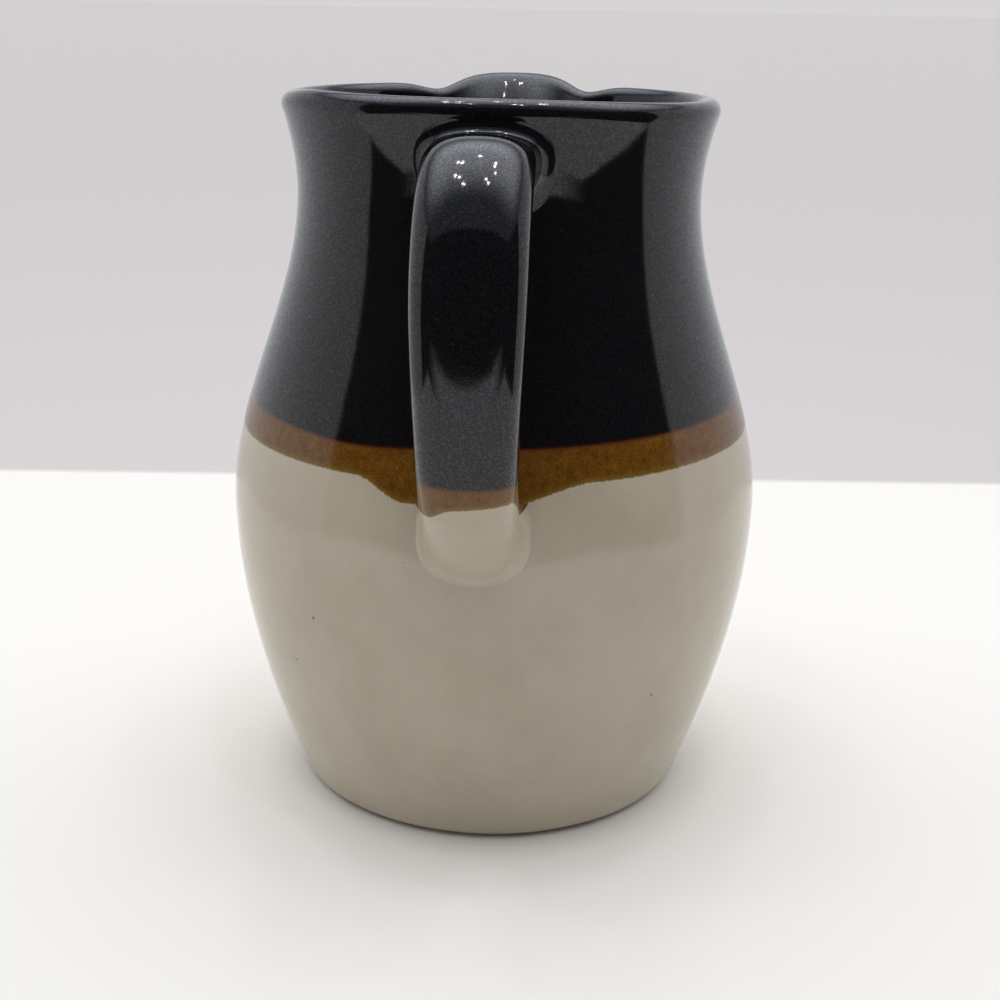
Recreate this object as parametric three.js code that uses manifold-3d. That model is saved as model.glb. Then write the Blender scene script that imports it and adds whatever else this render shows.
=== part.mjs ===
// A stoneware pitcher: a turned vessel with a pulled spout, a strap handle luted to its neck and belly,
// and three dipped glazes, cream below, a narrow amber band, and black above and inside.
// Millimetres, +Z up. The origin is the centre of the flat base, the spout points to +X, the handle to -X.
import * as THREE from "three";
import { mergeVertices } from "three/addons/utils/BufferGeometryUtils.js";
import Module from "manifold-3d";

// The vessel's outline, from the table up
const FOOT_RADIUS = 54.4; // of the wall, where its line meets the table
const FOOT_FLARE = 0.39; // outward lean of the wall there, radius per height
const FOOT_ROUND = 1.6; // bevel between the base and the wall
const BELLY_RADIUS = 72.8;
const BELLY_HEIGHT = 81.6; // table to the widest ring
const SHOULDER_RISE = 83.8; // widest ring to the narrowest ring of the neck
const NECK_RADIUS = 53.6;
const RIM_RISE = 24.6; // narrowest ring to the crest of the lip
const RIM_RADIUS = 57.3; // widest ring of the lip
const RIM_FLARE = 0.31;

// Wall, floor and coats
const WALL = 6; // glazed wall
const FLOOR = 8; // glazed floor
const FLOOR_CORNER = 15; // round between the floor and the wall inside
const GLAZE = 0.4;
const SEAT = 0.3; // clearance between pieces that touch

// The dips
const BARE_FOOT = 2.2; // unglazed clay above the table
const DIP_RISE = 11.8; // middle of the strap's tongue up to the edge of the cream glaze
const AMBER_BAND = 8.6; // cream glaze up to the edge of the black glaze
const LINER_DROP = 9; // lip down to where the black coat meets the inner one

// The spout
const SPOUT_REACH = 13; // of its tip beyond the round lip
const SPOUT_HALF_WIDTH = 14.5;
const SPOUT_RISE = 2.7; // of its tip above the lip
const SPOUT_PINCH = 22; // tip to the finger dents beside it, along the lip
const PINCH_HALF_WIDTH = 7.5;
const PINCH_DROP = 1.9;
const PINCH_DEPTH = 1.6;
const SPOUT_THROAT = 36; // lip down to where the spout begins

// The handle
const STRAP_CROWN = 8.5; // edges of the strap out to the middle of its outer face
const STRAP_BACK = 4; // edges in to the middle of its inner face
const ROOT_CROWN = 4.8; // the same two at its root in the neck
const ROOT_BACK = 9;
const STRAP_TOP_WIDTH = 25.6;
const STRAP_LOW_WIDTH = 22.6;
const FINGER_ROOM = 33; // neck to the inside of the strap
const UPPER_JOINT_DROP = 14.5; // lip down to the middle of the strap's root
const STRAP_LIFT = 8.5; // climb of the strap before it turns down
const BOW_DROP = 32; // strap's root down to where it hangs plumb
const LOWER_JOINT_RISE = 9.4; // widest ring up to the middle of the strap's tongue
const LOWER_JOINT_SLANT = 50; // of the strap to the plumb line there, in degrees
const LUTING_RADIUS = 3.6; // of the hollow fillets at both joints
const STRAP_SQUARENESS = 2.3; // 2 would make the strap's section an ellipse
const ROOT_FULLNESS = 0.7; // how far the strap runs out before it bends, as a share of its reach
const BEND_FULLNESS = 0.65; // how high above the bow the bend starts, as a share of the drop to it
const DROP_FULLNESS = 0.62; // how far the strap hangs plumb, as a share of its lower half's height
const TONGUE_FULLNESS = 0.45; // how long the tongue runs straight, as a share of the same height
const TAPER = [0.36, 0.8]; // where along the strap its taper begins and ends
const CROWN_SWELL = [0.06, 0.22]; // where the root's outer face has swelled to the crown
const BACK_TAPER = [0.1, 0.4]; // where the root's inner face has thinned to the strap's

// Facets
const ROUND_FACETS = 44;
const SPOUT_CROWDING = 0.36; // how much closer the facets lie at the spout
const WALL_STEPS = 12;
const LIP_STEPS = 5;
const INSIDE_STEPS = 9;
const CORNER_STEPS = 4;
const STRAP_FACETS = 16;
const STRAP_STEPS = 24;

const COLOURS = {
  clay: { color: 0xa58a6c, roughness: 0.85 },
  slip: { color: 0xb59d80, roughness: 0.85 },
  cream: { color: 0xaea692, roughness: 0.3 },
  amber: { color: 0x53371a, roughness: 0.35 },
  black: { color: 0x100d10, roughness: 0.15 },
  liner: { color: 0x17110f, roughness: 0.18 },
};

const wasm = await Module();
wasm.setup();

const HEIGHT = BELLY_HEIGHT + SHOULDER_RISE + RIM_RISE;
const NECK_HEIGHT = BELLY_HEIGHT + SHOULDER_RISE;
const LOWER_JOINT = BELLY_HEIGHT + LOWER_JOINT_RISE;
const CREAM_EDGE = LOWER_JOINT + DIP_RISE;
const BLACK_EDGE = CREAM_EDGE + AMBER_BAND;
const LINER_EDGE = HEIGHT - LINER_DROP;
const CLAY_DEPTH = GLAZE + SEAT; // of the clay under the glazed surface
const LIP = WALL / 2;
const LIP_LEAN = Math.atan(RIM_FLARE);
const LIP_CENTRE = new THREE.Vector2(RIM_RADIUS - LIP, HEIGHT - LIP);

// A closed three.js geometry as a solid that can be cut and joined.
function solid(geometry) {
  const bare = new THREE.BufferGeometry();
  bare.setAttribute("position", geometry.getAttribute("position"));
  bare.setIndex(geometry.index);
  const merged = mergeVertices(bare, 1e-4);
  const index = merged.index.array;
  const kept = [];
  for (let i = 0; i < index.length; i += 3) {
    const [a, b, c] = index.slice(i, i + 3);
    if (a !== b && b !== c && c !== a) kept.push(a, b, c);
  }
  const vertProperties = merged.getAttribute("position").array;
  return new wasm.Manifold(new wasm.Mesh({ numProp: 3, vertProperties, triVerts: new Uint32Array(kept) }));
}

function mesh(name, shape, finish) {
  const { vertProperties, triVerts } = shape.getMesh();
  const geometry = new THREE.BufferGeometry();
  geometry.setAttribute("position", new THREE.BufferAttribute(vertProperties, 3));
  geometry.setIndex(new THREE.BufferAttribute(triVerts, 1));
  geometry.computeVertexNormals();
  const made = new THREE.Mesh(geometry, new THREE.MeshStandardMaterial({ ...finish, metalness: 0 }));
  made.name = name;
  return made;
}

// The glazed outer wall as three cubic stretches, upright at the belly and at the neck.
// Each cubic's height runs evenly along it, so a height gives the place on the curve directly.
function stretch(low, high, lowLean, highLean) {
  const third = (high.y - low.y) / 3;
  const afterLow = new THREE.Vector2(low.x + lowLean * third, low.y + third);
  const beforeHigh = new THREE.Vector2(high.x - highLean * third, high.y - third);
  return new THREE.CubicBezierCurve(low, afterLow, beforeHigh, high);
}
const footPoint = new THREE.Vector2(FOOT_RADIUS, 0);
const bellyPoint = new THREE.Vector2(BELLY_RADIUS, BELLY_HEIGHT);
const neckPoint = new THREE.Vector2(NECK_RADIUS, NECK_HEIGHT);
const lipFoot = new THREE.Vector2(LIP * Math.cos(LIP_LEAN), -LIP * Math.sin(LIP_LEAN)).add(LIP_CENTRE);
const wallStretches = [
  stretch(footPoint, bellyPoint, FOOT_FLARE, 0),
  stretch(bellyPoint, neckPoint, 0, 0),
  stretch(neckPoint, lipFoot, 0, RIM_FLARE),
];

// A place on the glazed surface and the direction that faces away from the clay there.
// The surface is followed from the foot up, over the lip, down inside and along the floor.
function placeOn(curve, along) {
  const tangent = curve.getTangent(along);
  return { point: curve.getPoint(along), facing: new THREE.Vector2(tangent.y, -tangent.x) };
}
function wallAt(height) {
  const curve = wallStretches.find((part) => height <= part.v3.y) ?? wallStretches.at(-1);
  return placeOn(curve, (height - curve.v0.y) / (curve.v3.y - curve.v0.y));
}
function wallRadius(height) {
  return wallAt(height).point.x;
}
function outerWall(from, to, steps) {
  const places = [];
  for (let i = 0; i <= steps; i++) places.push(wallAt(from + ((to - from) * i) / steps));
  return places;
}
function innerWall(from, to, steps) {
  return outerWall(from, to, steps).map(({ point, facing }) => ({
    point: point.clone().addScaledVector(facing, -WALL),
    facing: facing.clone().negate(),
  }));
}
function overLip(steps) {
  const places = [];
  for (let i = 1; i < steps; i++) {
    const angle = (Math.PI * i) / steps - LIP_LEAN;
    const facing = new THREE.Vector2(Math.cos(angle), Math.sin(angle));
    places.push({ point: LIP_CENTRE.clone().addScaledVector(facing, LIP), facing });
  }
  return places;
}
function innerFloor(wallEnd, steps) {
  const down = new THREE.Vector2(wallEnd.facing.y, -wallEnd.facing.x).negate();
  const corner = wallEnd.point.clone().addScaledVector(down, (FLOOR - wallEnd.point.y) / down.y);
  const flat = new THREE.Vector2(corner.x - FLOOR_CORNER, FLOOR);
  const curve = new THREE.QuadraticBezierCurve(wallEnd.point, corner, flat);
  const places = [];
  for (let i = 1; i <= steps; i++) places.push(placeOn(curve, i / steps));
  places.push({ point: new THREE.Vector2(0, FLOOR), facing: new THREE.Vector2(0, 1) });
  return places;
}

const innerFoot = FLOOR + FLOOR_CORNER * Math.cos(Math.atan(FOOT_FLARE));
const outside = outerWall(BARE_FOOT, lipFoot.y, WALL_STEPS);
const lip = overLip(LIP_STEPS);
const inside = innerWall(lipFoot.y, innerFoot, INSIDE_STEPS);
const floor = innerFloor(inside.at(-1), CORNER_STEPS);

// How much of the spout's pull a height takes, from none at the throat to all at the crest of the lip.
function spoutPull(height) {
  return THREE.MathUtils.clamp((height - HEIGHT + SPOUT_THROAT) / SPOUT_THROAT, 0, 1) ** 2;
}

// The glazed surface moved into the clay by a depth. What lies under a place is pulled as that place is.
function sunk(places, depth) {
  return places.map(({ point, facing }) => {
    const moved = point.clone().addScaledVector(facing, -depth);
    return { point: new THREE.Vector2(Math.max(moved.x, 0), moved.y), pull: spoutPull(point.y) };
  });
}
function unpulled(radius, height) {
  return { point: new THREE.Vector2(radius, height), pull: 0 };
}

// A turned solid from an outline that runs up its outside, with the spout pulled into it:
// out and up at its tip, in and down at the finger dents beside it.
function turned(outline) {
  const geometry = new THREE.LatheGeometry(outline.map(({ point }) => point), ROUND_FACETS);
  const position = geometry.rotateX(Math.PI / 2).getAttribute("position");
  for (let i = 0; i < position.count; i++) {
    const { pull } = outline[i % outline.length];
    const radius = Math.hypot(position.getX(i), position.getY(i));
    const even = Math.atan2(position.getY(i), position.getX(i));
    const angle = even - SPOUT_CROWDING * Math.sin(even);
    const aside = Math.abs(angle) * RIM_RADIUS;
    const tip = Math.exp(-((aside / SPOUT_HALF_WIDTH) ** 3));
    const dent = Math.exp(-(((aside - SPOUT_PINCH) / PINCH_HALF_WIDTH) ** 2));
    const reach = radius + pull * (SPOUT_REACH * tip - PINCH_DEPTH * dent);
    const up = pull * (SPOUT_RISE * tip - PINCH_DROP * dent);
    position.setXYZ(i, reach * Math.cos(angle), reach * Math.sin(angle), position.getZ(i) + up);
  }
  return solid(geometry);
}
// The whole vessel at a depth under its glazed surface, hollow.
function vessel(depth) {
  const foot = FOOT_RADIUS - depth;
  const base = [unpulled(0, 0), unpulled(foot - FOOT_ROUND, 0), unpulled(foot, FOOT_ROUND)];
  return turned([...base, ...sunk([...outside, ...lip, ...inside, ...floor], depth)]);
}
// The same outer wall filled up to the crest of the lip.
function filledVessel(depth) {
  const outerLip = lip.filter(({ facing }) => facing.x > 0);
  const wall = sunk([...outside, ...outerLip], depth);
  const top = wall.at(-1).point.y;
  return turned([unpulled(0, 0), unpulled(FOOT_RADIUS - depth, 0), ...wall, unpulled(0, top)]);
}

// The strap's middle line, as distance from the vessel's axis and height
const upperJoint = HEIGHT - UPPER_JOINT_DROP;
const bowRadius = NECK_RADIUS + FINGER_ROOM + STRAP_BACK;
const upperRoot = new THREE.Vector2(wallRadius(upperJoint) - WALL, upperJoint);
const bow = new THREE.Vector2(bowRadius, upperJoint - BOW_DROP);
const slant = THREE.MathUtils.degToRad(LOWER_JOINT_SLANT);
const tongueAxis = new THREE.Vector2(Math.sin(slant), Math.cos(slant));
const lowerRoot = new THREE.Vector2(wallRadius(LOWER_JOINT), LOWER_JOINT);
lowerRoot.addScaledVector(tongueAxis, -STRAP_CROWN - STRAP_BACK);
const upperSpan = bow.x - upperRoot.x;
const lowerSpan = bow.y - lowerRoot.y;
const strapPath = new THREE.CurvePath();
strapPath.add(
  new THREE.CubicBezierCurve(
    upperRoot,
    new THREE.Vector2(upperRoot.x + upperSpan * ROOT_FULLNESS, upperRoot.y + STRAP_LIFT),
    new THREE.Vector2(bow.x, bow.y + BOW_DROP * BEND_FULLNESS),
    bow,
  ),
);
strapPath.add(
  new THREE.CubicBezierCurve(
    bow,
    new THREE.Vector2(bow.x, bow.y - lowerSpan * DROP_FULLNESS),
    lowerRoot.clone().addScaledVector(tongueAxis, lowerSpan * TONGUE_FULLNESS),
    lowerRoot,
  ),
);

// Half the strap's width and the depths of its two faces at a place along it.
function strapSizes(along) {
  const share = ([from, to]) => THREE.MathUtils.smoothstep(along, from, to);
  return {
    halfWidth: THREE.MathUtils.lerp(STRAP_TOP_WIDTH, STRAP_LOW_WIDTH, share(TAPER)) / 2,
    crown: THREE.MathUtils.lerp(ROOT_CROWN, STRAP_CROWN, share(CROWN_SWELL)),
    back: THREE.MathUtils.lerp(ROOT_BACK, STRAP_BACK, share(BACK_TAPER)),
  };
}

// A place on the strap's section, which is rounded on its outer face and flatter on its inner one.
function strapEdge(angle, { halfWidth, crown, back }, grown) {
  const bulge = (part) => Math.sign(part) * Math.abs(part) ** (2 / STRAP_SQUARENESS);
  const aside = (halfWidth + grown) * bulge(Math.cos(angle));
  const above = ((Math.sin(angle) > 0 ? crown : back) + grown) * bulge(Math.sin(angle));
  return new THREE.Vector2(aside, above);
}

// How far the luted joint spreads the strap at a place on it, more the closer that is to the wall.
function luting(place) {
  const away = Math.hypot(place.x, place.y) - wallRadius(place.z);
  const clear = THREE.MathUtils.clamp(away, 0, LUTING_RADIUS);
  return LUTING_RADIUS - Math.sqrt(LUTING_RADIUS ** 2 - (LUTING_RADIUS - clear) ** 2);
}

// The strap at a depth under its glaze, with or without the fillets that spread it on the wall.
// Its rings lie closer together towards both ends.
function strap(depth, filleted) {
  const rings = [];
  for (let i = 0; i <= STRAP_STEPS; i++) {
    const along = 0.5 - 0.5 * Math.cos((Math.PI * i) / STRAP_STEPS);
    const centre = strapPath.getPoint(along);
    const tangent = strapPath.getTangent(along);
    const sizes = strapSizes(along);
    const ring = [];
    for (let k = 0; k < STRAP_FACETS; k++) {
      const angle = (2 * Math.PI * k) / STRAP_FACETS;
      const placed = (grown) => {
        const { x, y } = strapEdge(angle, sizes, grown);
        return new THREE.Vector3(-(centre.x - tangent.y * y), x, centre.y + tangent.x * y);
      };
      ring.push(placed((filleted ? luting(placed(0)) : 0) - depth));
    }
    rings.push(ring);
  }
  return loft(rings);
}

// A closed solid through rings of as many points each, with a fan over each end.
function loft(rings) {
  const count = rings[0].length;
  const ends = [rings[0], rings.at(-1)].map((ring) =>
    ring.reduce((sum, point) => sum.add(point), new THREE.Vector3()).divideScalar(count),
  );
  const points = [...rings.flat(), ...ends];
  const last = (rings.length - 1) * count;
  const index = [];
  for (let i = 0; i < count; i++) {
    const next = (i + 1) % count;
    for (let row = 0; row < last; row += count) {
      index.push(row + i, row + count + next, row + next);
      index.push(row + i, row + count + i, row + count + next);
    }
    index.push(rings.length * count, i, next);
    index.push(rings.length * count + 1, last + next, last + i);
  }
  const geometry = new THREE.BufferGeometry().setFromPoints(points);
  geometry.setIndex(index);
  return solid(geometry);
}

// A slab of space between two heights, larger than the whole pitcher.
function between(low, high) {
  const side = 4 * (BELLY_RADIUS + bowRadius);
  const slab = new THREE.BoxGeometry(side, side, high - low);
  return solid(slab.translate(0, 0, (low + high) / 2));
}

// The clay pieces, each cut to the wall that it is luted to
const glazeBack = filledVessel(GLAZE);
const strapClay = strap(CLAY_DEPTH, false).subtract(glazeBack);
const beads = strap(CLAY_DEPTH, true).subtract(strap(GLAZE, false)).subtract(glazeBack);

// The coats: what lies between the glazed surface and the clay, parted where one dip ends and the next begins
const innerHalf = filledVessel(WALL / 2);
const roots = strap(-SEAT, true).subtract(innerHalf);
const bodyCoat = vessel(0).subtract(vessel(GLAZE)).subtract(roots);
const outerCoat = bodyCoat.subtract(innerHalf);
const strapCoat = strap(0, true).subtract(strap(GLAZE, true)).subtract(glazeBack);
const blackPart = between(BLACK_EDGE + SEAT / 2, 2 * HEIGHT);
const amberPart = between(CREAM_EDGE + SEAT / 2, BLACK_EDGE - SEAT / 2);
const creamPart = between(BARE_FOOT, CREAM_EDGE - SEAT / 2);
const linerPart = between(FLOOR / 2, LINER_EDGE - SEAT / 2).intersect(innerHalf);
const linerRoom = between(0, LINER_EDGE + SEAT / 2).intersect(innerHalf);

const pitcher = new THREE.Group();
pitcher.name = "stoneware_pitcher";
pitcher.add(
  mesh("clay_body", vessel(CLAY_DEPTH), COLOURS.clay),
  mesh("clay_handle", strapClay, COLOURS.clay),
  mesh("upper_luting_bead", beads.intersect(between(bow.y, 2 * HEIGHT)), COLOURS.slip),
  mesh("lower_luting_bead", beads.intersect(between(0, bow.y)), COLOURS.slip),
  mesh("cream_glaze", outerCoat.intersect(creamPart), COLOURS.cream),
  mesh("amber_glaze", outerCoat.intersect(amberPart), COLOURS.amber),
  mesh("dark_glaze", bodyCoat.intersect(blackPart).subtract(linerRoom), COLOURS.black),
  mesh("liner_glaze", bodyCoat.intersect(linerPart), COLOURS.liner),
  mesh("handle_dark_glaze", strapCoat.intersect(blackPart), COLOURS.black),
  mesh("handle_amber_glaze", strapCoat.intersect(amberPart), COLOURS.amber),
  mesh("handle_cream_glaze", strapCoat.intersect(creamPart), COLOURS.cream),
);

export default pitcher;
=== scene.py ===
import bpy
import numpy as np
from mathutils import Matrix, Vector


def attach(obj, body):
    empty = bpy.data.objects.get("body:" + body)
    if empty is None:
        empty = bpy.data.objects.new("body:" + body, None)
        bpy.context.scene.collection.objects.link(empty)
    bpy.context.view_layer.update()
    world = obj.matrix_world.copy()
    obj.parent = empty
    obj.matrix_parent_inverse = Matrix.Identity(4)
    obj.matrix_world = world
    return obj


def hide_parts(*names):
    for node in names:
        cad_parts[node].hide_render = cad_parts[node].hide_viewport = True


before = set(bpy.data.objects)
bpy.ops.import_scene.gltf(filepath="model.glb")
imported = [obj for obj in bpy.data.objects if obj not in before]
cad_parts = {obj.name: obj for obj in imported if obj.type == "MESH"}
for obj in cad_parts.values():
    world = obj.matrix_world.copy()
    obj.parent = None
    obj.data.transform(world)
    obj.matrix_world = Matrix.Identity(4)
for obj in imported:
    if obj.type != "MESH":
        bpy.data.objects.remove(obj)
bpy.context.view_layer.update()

# The camera
# It looks down on the handle's side from a little above the lip, at arm's length, with a slight roll.
# From there the handle stands before the middle of the band and the spout shows over the far lip.
EYE = Vector((-0.4081, -0.0271, 0.2121))
LOOK_DOWN = np.radians(18.21)
ROLL = np.radians(1.05)
SENSOR = 36.0
FOCAL_SHARE = 1.506  # focal length as a share of the picture's width
AXIS_SHIFT = 0.0061  # of the picture's middle beside the lens's axis

ahead = Vector((-EYE.x, -EYE.y, 0)).normalized()
forward = ahead * np.cos(LOOK_DOWN) - Vector((0, 0, np.sin(LOOK_DOWN)))
level_right = forward.cross(Vector((0, 0, 1))).normalized()
level_up = level_right.cross(forward)
right = level_right * np.cos(ROLL) + level_up * np.sin(ROLL)
up = level_up * np.cos(ROLL) - level_right * np.sin(ROLL)
camera = bpy.data.objects.new("camera", bpy.data.cameras.new("camera"))
camera.data.sensor_width = SENSOR
camera.data.lens = FOCAL_SHARE * SENSOR
camera.data.shift_x = AXIS_SHIFT
camera.matrix_world = Matrix.Translation(EYE) @ Matrix((right, up, -forward)).transposed().to_4x4()
bpy.context.scene.collection.objects.link(camera)
bpy.context.scene.camera = camera
bpy.context.scene.view_settings.view_transform = "Standard"

# The table
# A small white table top carries the pitcher, and the same pale ground runs on beyond it.
# Only the table top shows in the glaze, so that the glaze mirrors a table's edge and not an endless floor.
TABLE_NEAR = -0.37
TABLE_FAR = 0.5
TABLE_HALF_WIDTH = 0.395
GROUND_SIDE = 160.0
GROUND_DROP = 0.0004
WALL_LINE = 0.2715  # where the pale wall's foot shows behind the pitcher
WALL_LINE_BLUR = 0.004
WALL_SLANT = 0.081
WHITE_PAPER = (0.90, 0.895, 0.875)
PALE_WALL = (0.64, 0.615, 0.63)
PAPER_ROUGHNESS = 0.8
PAPER_SHINE = 0.1


class Tone:
    """A shader socket in Python sums: values add Math nodes, vectors Vector Math and colours Mix nodes."""

    def __init__(self, tree, socket):
        self.tree = tree
        self.socket = socket

    def node(self, kind, settings, inputs, output=0):
        """Adds any node: its settings are set first, then the values or links of its inputs."""
        made = self.tree.nodes.new(kind)
        for name, value in settings.items():
            setattr(made, name, value)
        for name, value in inputs.items():
            feed(value, made.inputs[name])
        return Tone(self.tree, made.outputs[output])

    def sum(self, operation, first, second):
        if self.socket.type == "RGBA":
            blend = {"data_type": "RGBA", "blend_type": operation}
            return self.node("ShaderNodeMix", blend, {0: 1, 6: first, 7: second}, 2)
        kind = "ShaderNodeVectorMath" if self.socket.type == "VECTOR" else "ShaderNodeMath"
        return self.node(kind, {"operation": operation}, {0: first, 1: second})

    def between(self, low, high):
        """0 below low and 1 above high, with a smooth rise between them."""
        ends = {"Value": self, "From Min": low, "From Max": high}
        return self.node("ShaderNodeMapRange", {"interpolation_type": "SMOOTHSTEP"}, ends)

    def mix(self, bare, covered):
        """A colour that goes from bare to covered as this value goes from 0 to 1."""
        return self.node("ShaderNodeMix", {"data_type": "RGBA"}, {0: self, 6: bare, 7: covered}, 2)

    def __add__(self, other):
        return self.sum("ADD", self, other)

    def __radd__(self, other):
        return self.sum("ADD", other, self)

    def __sub__(self, other):
        return self.sum("SUBTRACT", self, other)

    def __rsub__(self, other):
        return self.sum("SUBTRACT", other, self)

    def __mul__(self, other):
        return self.sum("MULTIPLY", self, other)

    def __rmul__(self, other):
        return self.sum("MULTIPLY", other, self)

    def __truediv__(self, other):
        return self.sum("DIVIDE", self, other)

    def __rtruediv__(self, other):
        return self.sum("DIVIDE", other, self)


def feed(value, socket):
    """Links a tone to a socket, or sets a plain value on it."""
    if isinstance(value, Tone):
        value.tree.links.new(value.socket, socket)
    elif socket.type == "RGBA":
        socket.default_value = (*value, 1)
    else:
        socket.default_value = value


def new_finish(name):
    """A material, its shader, and the place on the piece in metres."""
    material = bpy.data.materials.new(name)
    material.use_nodes = True
    shader = material.node_tree.nodes["Principled BSDF"]
    place = Tone(material.node_tree, None).node("ShaderNodeTexCoord", {}, {}, "Object")
    return material, shader, place


def paper_finish():
    material, shader, place = new_finish("white_paper")
    wall_side = {0: place, 1: (1, WALL_SLANT, 0)}
    away = place.node("ShaderNodeVectorMath", {"operation": "DOT_PRODUCT"}, wall_side, 1)
    beyond = away.between(WALL_LINE - WALL_LINE_BLUR, WALL_LINE + WALL_LINE_BLUR)
    feed(beyond.mix(WHITE_PAPER, PALE_WALL), shader.inputs["Base Color"])
    shader.inputs["Roughness"].default_value = PAPER_ROUGHNESS
    shader.inputs["Specular IOR Level"].default_value = PAPER_SHINE
    return material


def flat_ground(name, near, far, half_width, height):
    mesh = bpy.data.meshes.new(name)
    corners = ((near, -half_width), (far, -half_width), (far, half_width), (near, half_width))
    mesh.from_pydata([(x, y, height) for x, y in corners], [], [range(len(corners))])
    mesh.materials.append(white_paper)
    made = bpy.data.objects.new(name, mesh)
    bpy.context.scene.collection.objects.link(made)
    return made


white_paper = paper_finish()
flat_ground("table_top", TABLE_NEAR, TABLE_FAR, TABLE_HALF_WIDTH, 0)
ground = flat_ground("ground", -GROUND_SIDE / 2, GROUND_SIDE / 2, GROUND_SIDE / 2, -GROUND_DROP)
ground.visible_glossy = False

# The light tent
# White cloth stands behind, beside and over the pitcher and hangs before its table, open to the camera.
# A ring of small bulbs in the roof gives the sparkle on the handle, the joint and the lip.
CLOTH_IN_GLAZE = (0.67, 0.68, 0.71)
ROOF_IN_GLAZE = (0.23, 0.26, 0.33)  # at the roof's front edge
ROOF_BACK_IN_GLAZE = (2.4, 2.5, 2.75)
ROOM_IN_GLAZE = (0.012, 0.012, 0.015)
APRON_IN_GLAZE = (0.95, 0.98, 1.04)
CLOTH_LIGHT = (1.12, 1.11, 1.10)
ROOF_LIGHT = (1.26, 1.255, 1.245)
ROOM_LIGHT = (0.24, 0.24, 0.24)
WALL_GLOW = (0.68, 0.66, 0.665)  # of the pale wall beyond the ground's end, for the camera alone
OPEN_LEFT = np.radians(-72)
OPEN_RIGHT = np.radians(90)
OPEN_TOP = np.radians(46)  # how high the roof's straight front edge stands before the pitcher
ROOF_LIT = (0.71, 0.75)  # heights on a globe of 1 round the pitcher, between which the roof sets in
ROOF_MIRRORED = (0.45, 0.55)
ROOF_BACK_MIRRORED = (0.5, 0.85)
ROOF_BRIGHTENING = (-0.45, 0.14)  # from front to back on the same globe
APRON_TOP = np.radians(-18)  # of the cloth that hangs before the table
APRON_HALF_WIDTH = np.radians(42)
APRON_FADE = 0.2
EDGE_SOFTNESS = 0.02
LAMP_PLACE = Vector((-0.07, 0.02, 0.95))
LAMP_SPREAD = (0.17, 0.22)
LAMP_AIM = Vector((0, 0, 0.1))
BULBS = 11
BULB_WIDTH = 0.02
BULB_POWER = 0.12
BULB_TURN = 0.3  # how far a bulb strays round the ring
BULB_TURN_STEP = 2.4
BULB_REACH = 0.18  # and in or out of it
BULB_REACH_STEP = 3.7

world = bpy.data.worlds.new("light_tent")
world.use_nodes = True
bpy.context.scene.world = world
start = Tone(world.node_tree, None)
direction = start.node("ShaderNodeTexCoord", {}, {}, "Generated")
ahead_part = start.node("ShaderNodeSeparateXYZ", {}, {0: direction}, "X")
side_part = start.node("ShaderNodeSeparateXYZ", {}, {0: direction}, "Y")
height_part = start.node("ShaderNodeSeparateXYZ", {}, {0: direction}, "Z")
turn = start.node("ShaderNodeMath", {"operation": "ARCTAN2"}, {0: side_part * -1, 1: ahead_part * -1})
past_left = turn.between(OPEN_LEFT - EDGE_SOFTNESS, OPEN_LEFT + EDGE_SOFTNESS)
past_right = turn.between(OPEN_RIGHT - EDGE_SOFTNESS, OPEN_RIGHT + EDGE_SOFTNESS)
open_front = past_left * (1 - past_right)
lit = height_part.between(*ROOF_LIT).mix(open_front.mix(CLOTH_LIGHT, ROOM_LIGHT), ROOF_LIGHT)
over_edge = height_part * np.cos(OPEN_TOP) + ahead_part * np.sin(OPEN_TOP)
roof_front = over_edge.between(-EDGE_SOFTNESS, EDGE_SOFTNESS) * height_part.between(*ROOF_MIRRORED)
roof_back = height_part.between(*ROOF_BACK_MIRRORED) * ahead_part.between(*ROOF_BRIGHTENING)
under_edge = height_part * np.cos(APRON_TOP) + ahead_part * np.sin(APRON_TOP)
apron = 1 - under_edge.between(-EDGE_SOFTNESS, EDGE_SOFTNESS)
apron = apron * turn.between(-APRON_HALF_WIDTH - APRON_FADE, -APRON_HALF_WIDTH + APRON_FADE)
apron = apron * (1 - turn.between(APRON_HALF_WIDTH - APRON_FADE, APRON_HALF_WIDTH + APRON_FADE))
mirrored = open_front.mix(CLOTH_IN_GLAZE, ROOM_IN_GLAZE)
mirrored = roof_front.mix(mirrored, ROOF_IN_GLAZE)
mirrored = roof_back.mix(mirrored, ROOF_BACK_IN_GLAZE)
mirrored = apron.mix(mirrored, APRON_IN_GLAZE)
in_glaze = start.node("ShaderNodeLightPath", {}, {}, "Is Glossy Ray")
seen = start.node("ShaderNodeLightPath", {}, {}, "Is Camera Ray")
tent = world.node_tree.nodes["Background"]
feed(seen.mix(in_glaze.mix(lit, mirrored), WALL_GLOW), tent.inputs["Color"])

for number in range(BULBS):
    around_lamp = 2 * np.pi * number / BULBS + BULB_TURN * np.sin(BULB_TURN_STEP * number)
    reach = 1 + BULB_REACH * np.cos(BULB_REACH_STEP * number)
    bulb = bpy.data.objects.new(f"roof_bulb_{number}", bpy.data.lights.new("roof_bulb", "AREA"))
    bulb.data.shape = "DISK"
    bulb.data.size = BULB_WIDTH
    bulb.data.energy = BULB_POWER
    bulb.visible_camera = False
    offset = (LAMP_SPREAD[0] * reach * np.cos(around_lamp), LAMP_SPREAD[1] * reach * np.sin(around_lamp), 0)
    bulb.location = LAMP_PLACE + Vector(offset)
    bulb.rotation_euler = (LAMP_AIM - bulb.location).to_track_quat("-Z", "Y").to_euler()
    bpy.context.scene.collection.objects.link(bulb)

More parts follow.
